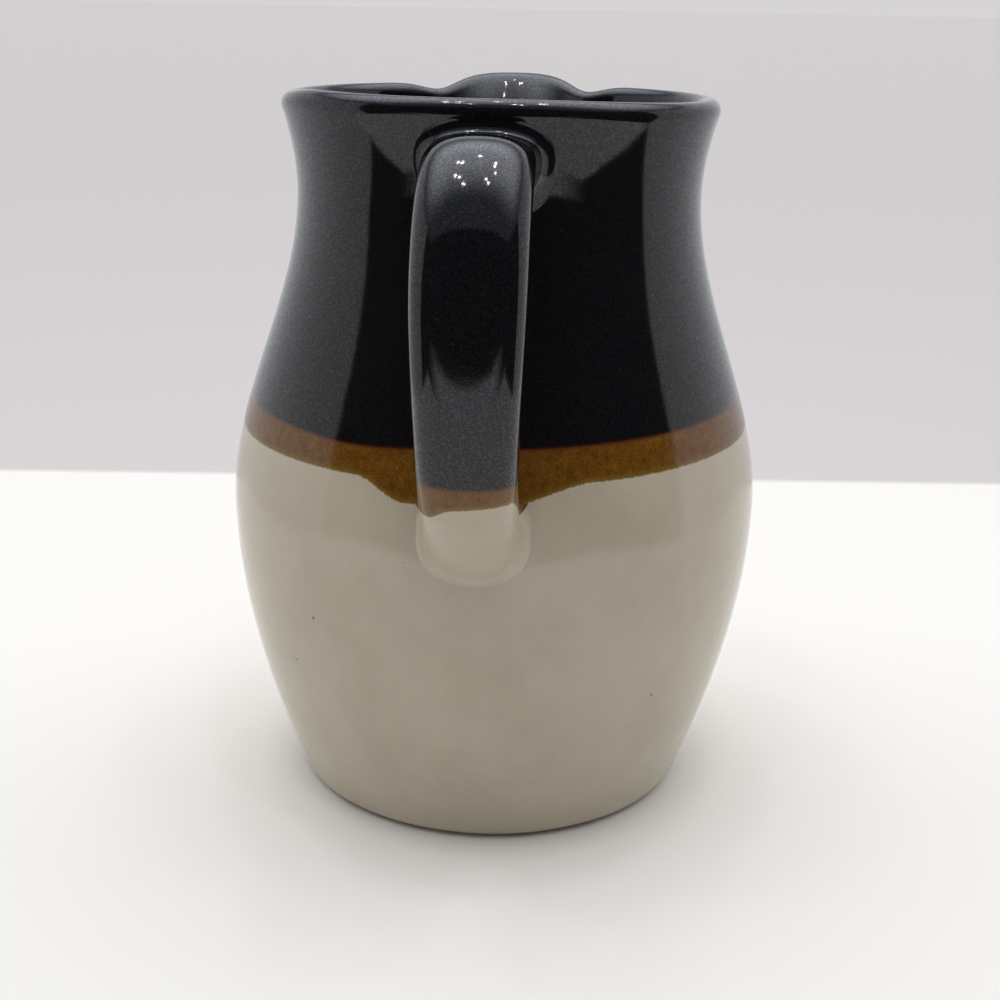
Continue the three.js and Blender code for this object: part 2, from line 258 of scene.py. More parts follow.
# The clay body
# The vessel is turned in buff stoneware on the wheel, floor, wall and rolled lip in one piece.
# The spout is pulled out of the soft lip between two finger dents, and the foot stays bare of glaze.
FOOT_RADIUS = 0.0544
FOOT_FLARE = 0.39
FOOT_ROUND = 0.0026
FOOT_ROUND_RISE = 1.4  # height of the foot's round as a share of its width
BELLY_RADIUS = 0.0726
BELLY_HEIGHT = 0.0816
NECK_RADIUS = 0.0536
NECK_HEIGHT = 0.1654
RIM_RADIUS = 0.0573
RIM_FLARE = 0.31
HEIGHT = 0.19
WALL = 0.006
FLOOR = 0.008
FLOOR_CORNER = 0.015
GLAZE = 0.0004
SPOUT_REACH = 0.013
SPOUT_HALF_WIDTH = 0.0168
TROUGH_HALF_WIDTH = 0.0148
SPOUT_RISE = 0.0025
SPOUT_PINCH = 0.0238
PINCH_HALF_WIDTH = 0.0075
PINCH_DROP = 0.0019
PINCH_DEPTH = 0.0016
SPOUT_THROAT = 0.036
SPOUT_CURL = 2.6
LIP_LIFT = 0.0018
LIFT_HEIGHTS = (0.15, 0.2)
LIFT_LEFT = (-85, -50)  # degrees from the handle between which the lift sets in, seen from outside
LIFT_RIGHT = (0, 75)  # and between which it ends
BASE_DISH = 0.0003  # hollow of the base, so that the pitcher stands on its outer ring
BASE_RIM = 0.006
SUNK_FROM = (0.0002, 0.0018)  # along the outline, where the clay draws back under the glaze
LAST_RING = 0.0005  # radius of the ring that a fan closes
COLUMNS = 320
WALL_STEPS = 800
FOOT_STEPS = 40
ROUND_STEPS = 80
FLOOR_STEPS = 120
BASE_RINGS = 24
FOOT_RINGS = 9
FOOT_STRETCH = 0.003  # along the outline, with the finer rings
CLAY_RINGS = 260
SHARP_EDGE = np.radians(50)
CLAY_BUFF = (0.36, 0.27, 0.185)
CLAY_BROWN = (0.20, 0.125, 0.07)
IRON_SPECK = (0.045, 0.025, 0.015)
CLAY_ROUGHNESS = 0.86
GRAIN_ROUGHNESS = 0.55
SPECK_EDGE = (0.55, 1.0)
SPECK_CORE = 0.4  # radius of the smallest specks, as a share of the named size
CHANCE_EDGE = 0.01
TOASTING = (0.009, 4.0)  # size and detail of the browner clouds
TOASTED = (0.35, 0.7)
GRIT = (0.0022, 0.00022, 0.5)  # spacing, size, and share of the places that have a speck
CLAY_SKIN = ((0.0006, 3.0, 0.00012), (0.003, 3.0, 0.0002))  # size, detail and height of its grains
CLAY_SKIN_SHOWS = 0.7

lip_radius = WALL / 2
lip_lean = np.arctan(RIM_FLARE)
lip_centre = np.array([RIM_RADIUS - lip_radius, HEIGHT - lip_radius])
lip_foot = lip_centre + lip_radius * np.array([np.cos(lip_lean), -np.sin(lip_lean)])


def stretch(height, low, high):
    """Radius of the wall at a height between two rings, each given as its radius, height and lean."""
    low_radius, low_height, low_lean = low
    high_radius, high_height, high_lean = high
    run = high_height - low_height
    t = (height - low_height) / run
    return (
        (2 * t**3 - 3 * t**2 + 1) * low_radius
        + (t**3 - 2 * t**2 + t) * run * low_lean
        + (3 * t**2 - 2 * t**3) * high_radius
        + (t**3 - t**2) * run * high_lean
    )


def wall_radius(height):
    foot = (FOOT_RADIUS, 0, FOOT_FLARE)
    belly = (BELLY_RADIUS, BELLY_HEIGHT, 0)
    neck = (NECK_RADIUS, NECK_HEIGHT, 0)
    rim = (*lip_foot, RIM_FLARE)
    above_neck = stretch(height, neck, rim)
    below_neck = np.where(height <= BELLY_HEIGHT, stretch(height, foot, belly), stretch(height, belly, neck))
    return np.where(height <= NECK_HEIGHT, below_neck, above_neck)


def rounding(start, corner, end, steps):
    """A round that leaves its start towards a corner and reaches its end from it."""
    t = np.linspace(0, 1, steps)[:, None]
    return (1 - t) ** 2 * np.array(start) + 2 * t * (1 - t) * np.array(corner) + t**2 * np.array(end)


def facing_out(line):
    """The direction that faces away from the clay along a line of radius and height."""
    run = np.gradient(line, axis=0)
    out = np.stack([run[:, 1], -run[:, 0]], 1)
    return out / np.linalg.norm(out, axis=1, keepdims=True)


def way_along(points):
    """How far each point of a line lies from the line's start."""
    steps = np.linalg.norm(np.diff(points, axis=0), axis=-1)
    return np.concatenate([np.zeros_like(steps[:1]), np.cumsum(steps, axis=0)])


def glazed_outline():
    """The glazed surface from the base's edge up, over the lip, down inside and to the floor's middle."""
    wall_foot = FOOT_ROUND_RISE * FOOT_ROUND
    heights = np.linspace(wall_foot, lip_foot[1], WALL_STEPS)
    outer = np.stack([wall_radius(heights), heights], 1)
    base_edge = (FOOT_RADIUS - FOOT_ROUND, 0)
    foot = rounding(base_edge, (FOOT_RADIUS, 0), outer[0], FOOT_STEPS)
    lip_turn = np.linspace(0, np.pi, ROUND_STEPS)[:, None] - lip_lean
    lip = lip_centre + lip_radius * np.concatenate([np.cos(lip_turn), np.sin(lip_turn)], 1)
    inner_foot = FLOOR + FLOOR_CORNER * np.cos(np.arctan(FOOT_FLARE))
    inner = (outer - WALL * facing_out(outer))[::-1]
    inner = inner[outer[::-1, 1] >= inner_foot]
    down = inner[-1] - inner[-2]
    corner = inner[-1] + down * (FLOOR - inner[-1, 1]) / down[1]
    flat = (corner[0] - FLOOR_CORNER, FLOOR)
    floor_round = rounding(inner[-1], corner, flat, ROUND_STEPS)
    floor = np.linspace(flat, (0, FLOOR), FLOOR_STEPS)
    return np.concatenate([foot, outer[1:], lip[1:-1], inner, floor_round[1:], floor[1:]])


outline = glazed_outline()
outline_facing = facing_out(outline)
outline_arc = way_along(outline)
outer_part = slice(0, int(np.argmax(outline[:, 1])))
lip_crest_arc = outline_arc[outer_part.stop]
angles = np.linspace(0, 2 * np.pi, COLUMNS, endpoint=False)


def arc_at(height):
    """How far along the outline the outer wall reaches a height."""
    return np.interp(height, outline[outer_part, 1], outline_arc[outer_part])


def rise(value, low, high):
    """0 below low and 1 above high, with a smooth rise between them."""
    t = np.clip((value - low) / (high - low), 0, 1)
    return t * t * (3 - 2 * t)


def lifted(points):
    """Points with the soft rim's lift: the lip was pushed up a little where the strap was pressed on."""
    beside = np.degrees(np.arctan2(-points[..., 1], -points[..., 0]))
    near = rise(beside, *LIFT_LEFT) * (1 - rise(beside, *LIFT_RIGHT))
    raised = points.copy()
    raised[..., 2] += LIP_LIFT * near * rise(points[..., 2], *LIFT_HEIGHTS)
    return raised


def turned(arc, proud):
    """Points of the turned surface: how far along its outline at each angle, and how proud of it."""
    radius, height = (np.interp(arc, outline_arc, outline[:, i]) for i in (0, 1))
    facing_radius, facing_height = (np.interp(arc, outline_arc, outline_facing[:, i]) for i in (0, 1))
    pull = np.clip((height - HEIGHT + SPOUT_THROAT) / SPOUT_THROAT, 0, 1) ** SPOUT_CURL
    aside = np.abs((angles + np.pi) % (2 * np.pi) - np.pi) * RIM_RADIUS
    crest = np.exp(-((aside / SPOUT_HALF_WIDTH) ** 3))
    trough = np.exp(-((aside / TROUGH_HALF_WIDTH) ** 2))
    dent = np.exp(-(((aside - SPOUT_PINCH) / PINCH_HALF_WIDTH) ** 2))
    bare_radius = np.maximum(radius + facing_radius * proud, 0)
    radius = bare_radius + pull * (SPOUT_REACH * trough - PINCH_DEPTH * dent)
    height = height + facing_height * proud + pull * (SPOUT_RISE * crest - PINCH_DROP * dent)
    return lifted(np.stack([radius * np.cos(angles), radius * np.sin(angles), height], -1))


def ringed_piece(name, rings, finish, looped=False, marks=None):
    """A closed mesh through rings of points, joined end to end or with a fan over each end."""
    count, columns = rings.shape[:2]
    numbers = np.arange(count * columns).reshape(count, columns)
    points = rings.reshape(-1, 3)
    rows = np.concatenate([numbers, numbers[:1]]) if looped else numbers
    low, high = rows[:-1], rows[1:]
    faces = np.stack([low, np.roll(low, -1, 1), np.roll(high, -1, 1), high], -1).reshape(-1, 4).tolist()
    if not looped:
        first, last = numbers[0], numbers[-1]
        start, end = len(points), len(points) + 1
        points = np.concatenate([points, rings[:1].mean(1), rings[-1:].mean(1)])
        faces += [(start, b, a) for a, b in zip(first, np.roll(first, -1))]
        faces += [(a, b, end) for a, b in zip(last, np.roll(last, -1))]
    mesh = bpy.data.meshes.new(name)
    mesh.from_pydata(points.tolist(), [], faces)
    mesh.polygons.foreach_set("use_smooth", [True] * len(mesh.polygons))
    mesh.set_sharp_from_angle(angle=SHARP_EDGE)
    for mark, values in (marks or {}).items():
        layer = mesh.attributes.new(mark, "FLOAT", "POINT")
        layer.data.foreach_set("value", values.reshape(-1))
    mesh.materials.append(finish)
    made = bpy.data.objects.new(name, mesh)
    bpy.context.scene.collection.objects.link(made)
    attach(made, "root")
    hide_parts(name)


def grain(place, size, detail):
    """Fine irregular variation from 0 to 1, with lumps of about a given size in metres."""
    sizes = {"Vector": place, "Scale": 1 / size, "Detail": detail, "Roughness": GRAIN_ROUGHNESS}
    return place.node("ShaderNodeTexNoise", {}, sizes)


def grains(place, layers):
    """Grains laid over each other, each given as its size, its detail and how much it counts."""
    heights = [grain(place, size, detail) * height for size, detail, height in layers]
    return sum(heights[1:], heights[0])


def bumped(height, strength=1.0):
    """The way a skin faces that stands up by a height in metres."""
    return height.node("ShaderNodeBump", {}, {"Strength": strength, "Distance": 1.0, "Height": height})


def specks(place, spacing, size, share):
    """1 inside a few round specks: one for a share of the cells of a loose grid, and 0 elsewhere."""
    cells = {"Vector": place, "Scale": 1 / spacing}
    reach = place.node("ShaderNodeTexVoronoi", {}, cells, "Distance")
    tint = place.node("ShaderNodeTexVoronoi", {}, cells, "Color")
    chance = place.node("ShaderNodeSeparateColor", {}, {0: tint}, 0)
    wider = place.node("ShaderNodeSeparateColor", {}, {0: tint}, 1)
    radius = wider * (size / spacing) + SPECK_CORE * size / spacing
    inside = 1 - (reach / radius).between(*SPECK_EDGE)
    return inside * (1 - chance.between(share, share + CHANCE_EDGE))


def bare_clay():
    material, shader, place = new_finish("bare_clay")
    toasted = grain(place, *TOASTING).between(*TOASTED)
    colour = toasted.mix(CLAY_BUFF, CLAY_BROWN)
    feed(specks(place, *GRIT).mix(colour, IRON_SPECK), shader.inputs["Base Color"])
    shader.inputs["Roughness"].default_value = CLAY_ROUGHNESS
    feed(bumped(grains(place, CLAY_SKIN), CLAY_SKIN_SHOWS), shader.inputs["Normal"])
    return material


def clay_rings():
    """Rings of the bare vessel: under its base, up outside, over the lip and down inside under the coats."""
    base = np.linspace(LAST_RING, outline[0, 0], BASE_RINGS)[:-1]
    hollow = BASE_DISH * (1 - rise(base, outline[0, 0] - BASE_RIM, outline[0, 0] - BASE_RIM / 3))
    under = [
        np.stack([radius * np.cos(angles), radius * np.sin(angles), np.full(COLUMNS, height)], -1)
        for radius, height in zip(base, hollow)
    ]
    foot_arc = np.linspace(0, FOOT_STRETCH, FOOT_RINGS)[:-1]
    arc = np.concatenate([foot_arc, np.linspace(FOOT_STRETCH, outline_arc[-1] - LAST_RING, CLAY_RINGS)])
    sunk = GLAZE * rise(arc, *SUNK_FROM)
    return np.concatenate([np.array(under), turned(arc[:, None], -sunk[:, None])])


clay_finish = bare_clay()
ringed_piece("clay_body", clay_rings(), clay_finish)

# The clay handle
# A strap is pulled from a lump of the same clay, round on its outer face, bent while soft and luted on.
# It leaves the neck level, hangs plumb at its bow and lands on the belly as a slanting tongue.
STRAP_CROWN = 0.0083  # edges of the strap out to the middle of its outer face
STRAP_BACK = 0.004  # edges in to the middle of its inner face
ROOT_CROWN = 0.0048
ROOT_BACK = 0.009
STRAP_TOP_WIDTH = 0.0256
STRAP_LOW_WIDTH = 0.0228
STRAP_SQUARENESS = 2.3
STRAP_TAPER = (0.36, 0.8)
CROWN_SWELL = (0.06, 0.22)
BACK_TAPER = (0.1, 0.4)
STRAP_SWAY = 0.0004  # no pulled strap hangs quite plumb
FINGER_ROOM = 0.033
UPPER_JOINT = HEIGHT - 0.0145
STRAP_LIFT = 0.0085
BOW_DROP = 0.032
LOWER_JOINT = 0.091
LOWER_JOINT_SLANT = np.radians(50)
ROOT_FULLNESS = 0.7
BEND_FULLNESS = 0.65
DROP_FULLNESS = 0.62
TONGUE_FULLNESS = 0.45
PRESSED_IN = 0.0014  # how deep the strap's ends are pressed into the soft wall
UPPER_LUTING = 0.0046
TOE_LUTING = 0.002  # under the tongue's end
FLANK_LUTING = 0.003  # beside the tongue
FLANK_CLIMB = 0.0042  # how much further the slip climbs the tongue's two flanks
FLANK_SIDES = (0.55, 0.95)  # where the flanks set in, as shares of the strap's half width
WEB_LUTING = 0.009  # in the sharp corner behind the tongue
WEB_DEPTHS = (0.3, 0.95)  # where the web sets in, as shares of the strap's depth behind its edges
WEB_SPREAD = 0.6  # how far the slip behind the tongue leans out past its flanks
SPREAD_DEPTHS = (0, 0.5)
SPREAD_SIDES = (0.3, 0.7)
WEB_WIPES = 14  # of the wet sponge over the slip round the tongue
TONGUE_PROUD = -0.00003  # of the slip's edge over the belly's glaze
COLLAR_PROUD = 0.00006  # of the slip's edge over the neck's glaze
FILLET_HOLD = 0.5  # how far a fillet follows the strap and the wall before it turns, as a share of its reach
LEAN_STEP = 0.0001  # of height, over which the wall's lean is taken
STRAP_COLUMNS = 96
STRAP_ROWS = 500
BEND_STEPS = 400
SECTION_STEPS = 2880
CLAY_ROWS = 126
SKIN_ROWS = 360
FILLET_ROWS = 24


def bend(points, t):
    """A cubic curve at shares t of its way, given by its two ends with their two handles between them."""
    a, b, c, d = (np.array(point) for point in points)
    return (1 - t) ** 3 * a + 3 * (1 - t) ** 2 * t * b + 3 * (1 - t) * t**2 * c + t**3 * d


def strap_line():
    """The strap's middle line from the tongue's end inside the belly's wall up to its root in the neck's."""
    upper_root = np.array([wall_radius(UPPER_JOINT) - WALL, UPPER_JOINT])
    bow = np.array([NECK_RADIUS + FINGER_ROOM + STRAP_BACK, UPPER_JOINT - BOW_DROP])
    tongue = np.array([np.sin(LOWER_JOINT_SLANT), np.cos(LOWER_JOINT_SLANT)])
    lower_root = np.array([wall_radius(LOWER_JOINT), LOWER_JOINT]) - (STRAP_CROWN + STRAP_BACK) * tongue
    span = bow - upper_root
    drop = bow[1] - lower_root[1]
    root_handle = upper_root + (ROOT_FULLNESS * span[0], STRAP_LIFT)
    bend_handle = bow + (0, BEND_FULLNESS * BOW_DROP)
    drop_handle = bow - (0, DROP_FULLNESS * drop)
    tongue_handle = lower_root + TONGUE_FULLNESS * drop * tongue
    t = np.linspace(0, 1, BEND_STEPS)[:, None]
    low = bend((lower_root, tongue_handle, drop_handle, bow), t)
    high = bend((bow, bend_handle, root_handle, upper_root), t)
    return np.concatenate([low, high[1:]])


def rounded_section():
    """The strap's section for half sizes of 1, at even steps round it."""
    turn = np.linspace(0, 2 * np.pi, SECTION_STEPS)
    edge = np.stack([np.cos(turn), np.sin(turn)], 1)
    edge = np.sign(edge) * np.abs(edge) ** (2 / STRAP_SQUARENESS)
    depth = np.where(edge[:, 1] > 0, STRAP_CROWN, STRAP_BACK)
    run = way_along(edge * np.stack([np.full(len(turn), STRAP_TOP_WIDTH / 2), depth], 1))
    even = np.linspace(0, run[-1], STRAP_COLUMNS, endpoint=False)
    return np.stack([np.interp(even, run, edge[:, i]) for i in (0, 1)], 1)


def bare_strap(grown):
    """Rows of the strap before it is luted on, grown all round by a given amount."""
    line = strap_line()
    run = way_along(line)
    even = np.linspace(0, run[-1], STRAP_ROWS)
    line = np.stack([np.interp(even, run, line[:, i]) for i in (0, 1)], 1)
    ahead = np.gradient(line, axis=0)
    ahead /= np.linalg.norm(ahead, axis=1, keepdims=True)
    share = 1 - even / run[-1]
    width = STRAP_TOP_WIDTH + (STRAP_LOW_WIDTH - STRAP_TOP_WIDTH) * rise(share, *STRAP_TAPER)
    crown = ROOT_CROWN + (STRAP_CROWN - ROOT_CROWN) * rise(share, *CROWN_SWELL)
    back = ROOT_BACK + (STRAP_BACK - ROOT_BACK) * rise(share, *BACK_TAPER)
    depth = np.where(strap_section[:, 1] > 0, crown[:, None], back[:, None])
    sway = STRAP_SWAY * np.sin(np.pi * share)
    aside = (width[:, None] / 2 + grown) * strap_section[:, 0] + sway[:, None]
    above = (depth + grown) * strap_section[:, 1]
    reach = line[:, :1] + ahead[:, 1:] * above
    return np.stack([-reach, aside, line[:, 1:] - ahead[:, :1] * above], -1)


def unit(vectors):
    return vectors / np.linalg.norm(vectors, axis=-1, keepdims=True)


def outward(rows):
    """Normals of a closed tube of rows."""
    along = np.gradient(rows, axis=0)
    around = np.roll(rows, -1, 1) - np.roll(rows, 1, 1)
    return unit(np.cross(around, along))


def wall_normal(points):
    higher, lower = (wall_radius(points[..., 2] + step) for step in (LEAN_STEP, -LEAN_STEP))
    lean = (higher - lower) / (2 * LEAN_STEP)
    round_part = unit(points[..., :2])
    return unit(np.concatenate([round_part, -lean[..., None]], -1))


def onto_wall(points, proud):
    """The nearest places on the glazed wall, at the same heights, raised by a little."""
    spread = (wall_radius(points[..., 2]) + proud)[..., None] * unit(points[..., :2])
    return np.concatenate([spread, points[..., 2:]], -1)


def at_rows(rows, where):
    """Points at a fractional row number of each column."""
    low = np.clip(where.astype(int), 0, len(rows) - 2)
    share = (where - low)[..., None]
    column = np.arange(rows.shape[1])
    return rows[low, column] * (1 - share) + rows[low + 1, column] * share


def landings(rows, depth):
    """The row numbers at which the strap's columns reach a depth in the belly's wall and in the neck's."""
    clear = np.hypot(rows[..., 0], rows[..., 1]) - wall_radius(rows[..., 2]) + depth
    outside = clear > 0
    middle = STRAP_ROWS // 2
    low = middle - np.argmin(outside[middle::-1], axis=0)
    high = middle + np.argmin(outside[middle:], axis=0) - 1
    column = np.arange(STRAP_COLUMNS)
    low_landing = low - clear[low, column] / (clear[low + 1, column] - clear[low, column])
    high_landing = high + clear[high, column] / (clear[high, column] - clear[high + 1, column])
    return low_landing, high_landing


def clay_strap():
    """Rows of the bare strap, with its ends pressed a little way into the wall."""
    rows = bare_strap(-GLAZE)
    low_landing, high_landing = landings(rows, PRESSED_IN)
    share = np.linspace(0, 1, CLAY_ROWS)[:, None]
    return lifted(at_rows(rows, low_landing + share * (high_landing - low_landing)))


def fillet(rows, landing, step, luting, climb, lean, wipes, proud):
    """Rows from the strap round the luted corner and out along the wall. Step is the way to the wall in rows.

    Each wipe evens the slip out round the strap, the more the nearer the wall.
    """
    spacing = np.linalg.norm(at_rows(rows, landing) - at_rows(rows, landing - step), axis=1)
    leaving = landing - step * climb / spacing
    corner = at_rows(rows, landing)
    beside_wall = wall_normal(corner)
    away = at_rows(outward(rows), landing)
    away[:, 1] += lean
    away = unit(away - (away * beside_wall).sum(-1, keepdims=True) * beside_wall)
    end = onto_wall(corner + luting[:, None] * away, proud)
    end_facing = wall_normal(end)
    back = corner - end
    back = unit(back - (back * end_facing).sum(-1, keepdims=True) * end_facing)
    first = at_rows(rows, leaving)
    along = unit(at_rows(rows, leaving + step / 2) - at_rows(rows, leaving - step / 2))
    hold = FILLET_HOLD * luting[:, None]
    t = np.linspace(0, 1, FILLET_ROWS)[:, None, None]
    curve = bend((first, first + hold * along, end + hold * back, end), t)
    for _ in range(wipes):
        curve += t / 2 * ((np.roll(curve, 1, 1) + np.roll(curve, -1, 1)) / 2 - curve)
    curve[-1] = onto_wall(curve[-1], proud)
    return leaving, curve, corner


def luted_strap():
    """Rows of the luted strap from the belly's wall up to the neck's, and the corners under both fillets."""
    rows = bare_strap(0)
    low_landing, high_landing = landings(rows, 0)
    side, face = strap_section.T
    flanks = rise(np.abs(side), *FLANK_SIDES)
    web = rise(-face, *WEB_DEPTHS)
    low_luting = TOE_LUTING + (FLANK_LUTING - TOE_LUTING) * flanks + (WEB_LUTING - TOE_LUTING) * web
    low_climb = low_luting + FLANK_CLIMB * flanks
    low_lean = WEB_SPREAD * np.sign(side) * rise(-face, *SPREAD_DEPTHS) * rise(np.abs(side), *SPREAD_SIDES)
    low_leaving, low_curve, low_corner = fillet(
        rows, low_landing, -1, low_luting, low_climb, low_lean, WEB_WIPES, TONGUE_PROUD
    )
    high_luting = np.full(STRAP_COLUMNS, UPPER_LUTING)
    high_leaving, high_curve, high_corner = fillet(
        rows, high_landing, 1, high_luting, high_luting, 0, 0, COLLAR_PROUD
    )
    share = np.linspace(0, 1, SKIN_ROWS)[1:-1, None]
    between = at_rows(rows, low_leaving + share * (high_leaving - low_leaving))
    whole = np.concatenate([low_curve[::-1], between, high_curve])
    return lifted(whole), low_corner, lifted(high_corner)


strap_section = rounded_section()
strap_rows, low_corner, high_corner = luted_strap()
strap_facing = outward(strap_rows)
strap_arc = way_along(strap_rows)
ringed_piece("clay_handle", clay_strap(), clay_finish)

# The luting beads
# Soft slip is worked into the corners between the strap and the wall, and fires into one with both.
# Both lie under the glaze, as rings that hold the strap.
BEAD_SINK = 1.02 * GLAZE  # of the bead under the glazed fillet
BEAD_ROOT = 0.0008  # of its back beyond the corner
SLIP_PALE = (0.40, 0.31, 0.22)
SLIP_BROWN = (0.30, 0.21, 0.14)
SLIP_CLOUD = (0.004, 4.0)
SLIP_ROUGHNESS = 0.88
SLIP_SKIN = ((0.0008, 2.0, 0.0002),)
SLIP_SKIN_SHOWS = 0.5


def bare_slip():
    material, shader, place = new_finish("bare_slip")
    feed(grain(place, *SLIP_CLOUD).mix(SLIP_PALE, SLIP_BROWN), shader.inputs["Base Color"])
    shader.inputs["Roughness"].default_value = SLIP_ROUGHNESS
    feed(bumped(grains(place, SLIP_SKIN), SLIP_SKIN_SHOWS), shader.inputs["Normal"])
    return material


def luting_bead(name, fillet_rows, corner):
    """A ring of slip under a fillet, with its back in the corner between the strap and the wall."""
    rows = strap_rows[fillet_rows] - BEAD_SINK * strap_facing[fillet_rows]
    inward = unit(corner - rows.mean(0))
    rings = np.concatenate([rows, (corner + BEAD_ROOT * inward)[None]])
    ringed_piece(name, rings, slip_finish, looped=True)


slip_finish = bare_slip()
luting_bead("lower_luting_bead", slice(0, FILLET_ROWS), low_corner)
luting_bead("upper_luting_bead", slice(-FILLET_ROWS, None), high_corner)

# The cream glaze
# The lower half is dipped in a cream glaze with a few iron specks, wiped off just above the table.
# It runs up under the amber band and round the handle's tongue.
FOOT_EDGE = 0.0033  # along the outline from the base's edge to the glaze
FOOT_EDGE_WAVES = ((0.0002, 5, 1.1), (0.00015, 11, 0))  # height, number round the foot, and turn
CREAM_EDGE = 0.1032
BLACK_EDGE = 0.1119
DIP_TILT_CREAM = 0.0006
DIP_TILT_BLACK = 0.0012
DIP_WAVE = 0.0003
DIP_WAVES_ROUND = 3
DIP_WAVE_TURN = 0.7
DIP_WAVE_FROM = (1.3, 2.0)  # angles from the handle between which the waves set in
CREAM_WAVE_SHARE = 0.7
BLACK_DIP = 0.0011  # of the black edge left of the handle
BLACK_DIP_PLACE = -27  # degrees from the handle
BLACK_DIP_WIDTH = 16
AMBER_SAG = 0.005  # of the amber behind the tongue
AMBER_SAG_LEFT = (-25, -14)
AMBER_SAG_RIGHT = (4, 24)
HANDLE_BLACK_EDGE = 0.1108
HANDLE_AMBER_EDGE = 0.1051
HANDLE_AMBER_TILT = 0.1  # the amber hangs lower towards +Y
HANDLE_DRIP = 0.0023
HANDLE_DRIP_SIDE = 0.0086
HANDLE_DRIP_WIDTH = 0.003
INNER_FACE = (-0.55, 0.25)  # where the strap's edge turns into its inner face, as shares of its depth
LEAST_CLIMB = 0.12  # of a fillet's columns, so that each crosses a height only once
EDGE_WIPES = 18
LAP = 0.002  # how far one coat runs on under the next
HAIR = 0.00001  # the least step from one face to the next
CREAM_ROLL = 0.0011  # width of the glaze's rounded edge at the foot
CREAM_ROLL_START = 0.02
CREAM_ROWS = 110
HANDLE_CREAM_ROWS = 60
EDGE_ROWS = np.array([0.08, 0.2, 0.35, 0.55, 0.75])  # within a coat's lowest row
CREAM = (0.465, 0.412, 0.328)
CREAM_SHADE = (0.415, 0.362, 0.282)
CREAM_CLOUD = (0.022, 3.0)
CREAM_CLOUDED = (0.3, 0.72)
CREAM_MOTTLE = (0.0012, 3.0)
CREAM_MOTTLED = (0.25, 0.8)
CLOUD_SHARE = 0.75
IRON_SPOTS = (0.0085, 0.00042, 0.22)
IRON_DUST = (0.0046, 0.0002, 0.16)
IRON_DUST_SHIFT = (0.31, 0.17, 0.23)
IRON_STRENGTH = 0.8
CREAM_GLOSS = (0.1, 0.07, 0.004, 3.0)  # least roughness, what a grain adds, and its size and detail
CREAM_SKIN = ((0.016, 2.0, 0.00005), (0.0011, 2.0, 0.0000022))

from_handle = np.angle(np.exp(1j * (angles - np.pi)))  # positive towards -Y, which is the picture's right
beside = np.degrees(from_handle)
wave = DIP_WAVE * np.sin(DIP_WAVES_ROUND * angles + DIP_WAVE_TURN) * rise(np.abs(from_handle), *DIP_WAVE_FROM)
black_edge = BLACK_EDGE + DIP_TILT_BLACK * np.sin(from_handle) + wave
black_edge = black_edge - BLACK_DIP * np.exp(-(((beside - BLACK_DIP_PLACE) / BLACK_DIP_WIDTH) ** 2))
cream_edge = CREAM_EDGE + DIP_TILT_CREAM * np.sin(from_handle) + CREAM_WAVE_SHARE * wave
cream_edge = cream_edge - AMBER_SAG * rise(beside, *AMBER_SAG_LEFT) * (1 - rise(beside, *AMBER_SAG_RIGHT))
foot_edge = sum((high * np.sin(count * angles + turn) for high, count, turn in FOOT_EDGE_WAVES), FOOT_EDGE)

strap_side = strap_section[:, 0] * STRAP_LOW_WIDTH / 2
strap_inner = rise(-strap_section[:, 1], *INNER_FACE)
landing_angle = np.arctan2(strap_rows[0, :, 1], strap_rows[0, :, 0]) % (2 * np.pi)
beside_edge = np.interp(landing_angle, angles, cream_edge)
drip = HANDLE_DRIP * np.exp(-(((strap_side - HANDLE_DRIP_SIDE) / HANDLE_DRIP_WIDTH) ** 2))
handle_amber_edge = HANDLE_AMBER_EDGE - HANDLE_AMBER_TILT * strap_side - drip
handle_amber_edge = handle_amber_edge + (beside_edge - handle_amber_edge) * strap_inner


def strap_arc_at(height):
    """How far up each column of the strap's lower half a height is reached."""
    half = len(strap_rows) // 2
    level = strap_rows[:half, :, 2].copy()
    first = FILLET_ROWS
    fall = LEAST_CLIMB * (strap_arc[first] - strap_arc[:first])
    level[:first] = np.minimum(level[:first], level[first] - fall)
    heights = np.broadcast_to(height, STRAP_COLUMNS)
    return np.array([np.interp(h, level[:, j], strap_arc[:half, j]) for j, h in enumerate(heights)])


def evened(values, share):
    """Values round the strap, led down gently to low neighbours where the share is 1."""
    even = values
    for _ in range(EDGE_WIPES):
        even = np.minimum(values, (np.roll(even, 1) + 2 * even + np.roll(even, -1)) / 4)
    return values + share * (even - values)


def on_strap(arc, proud):
    """Points of the luted strap: how far up each column, and how proud of it."""
    made = np.empty((*arc.shape, 3))
    for j in range(STRAP_COLUMNS):
        for i in range(3):
            place = np.interp(arc[:, j], strap_arc[:, j], strap_rows[:, j, i])
            facing = np.interp(arc[:, j], strap_arc[:, j], strap_facing[:, j, i])
            made[:, j, i] = place + facing * proud[:, j]
    return made


def coat(name, surface, low, high, rows, front, back, finish, joined=0):
    """A closed coat of glaze between two edges of a surface. Front and back say how proud its two faces lie.

    Both take how far a place is above the coat's lower edge. Joined says how far the coat runs on past
    that edge, in the next coat of the same glaze.
    """
    share = np.linspace(0, 1, rows)
    share = np.sort(np.concatenate([share, share[1] * EDGE_ROWS]))
    arc = low + share[:, None] * (high - low)
    above, below = arc - low + joined, high - arc
    rings = np.concatenate([surface(arc, front(above)), surface(arc, back(above))[::-1]])
    marks = {
        "above_edge": np.concatenate([above, above[::-1]]),
        "below_edge": np.concatenate([below, below[::-1]]),
    }
    ringed_piece(name, rings, finish, looped=True, marks=marks)


def gloss(place, least, more, size, detail):
    """A roughness that a grain raises here and there."""
    return least + more * grain(place, size, detail)


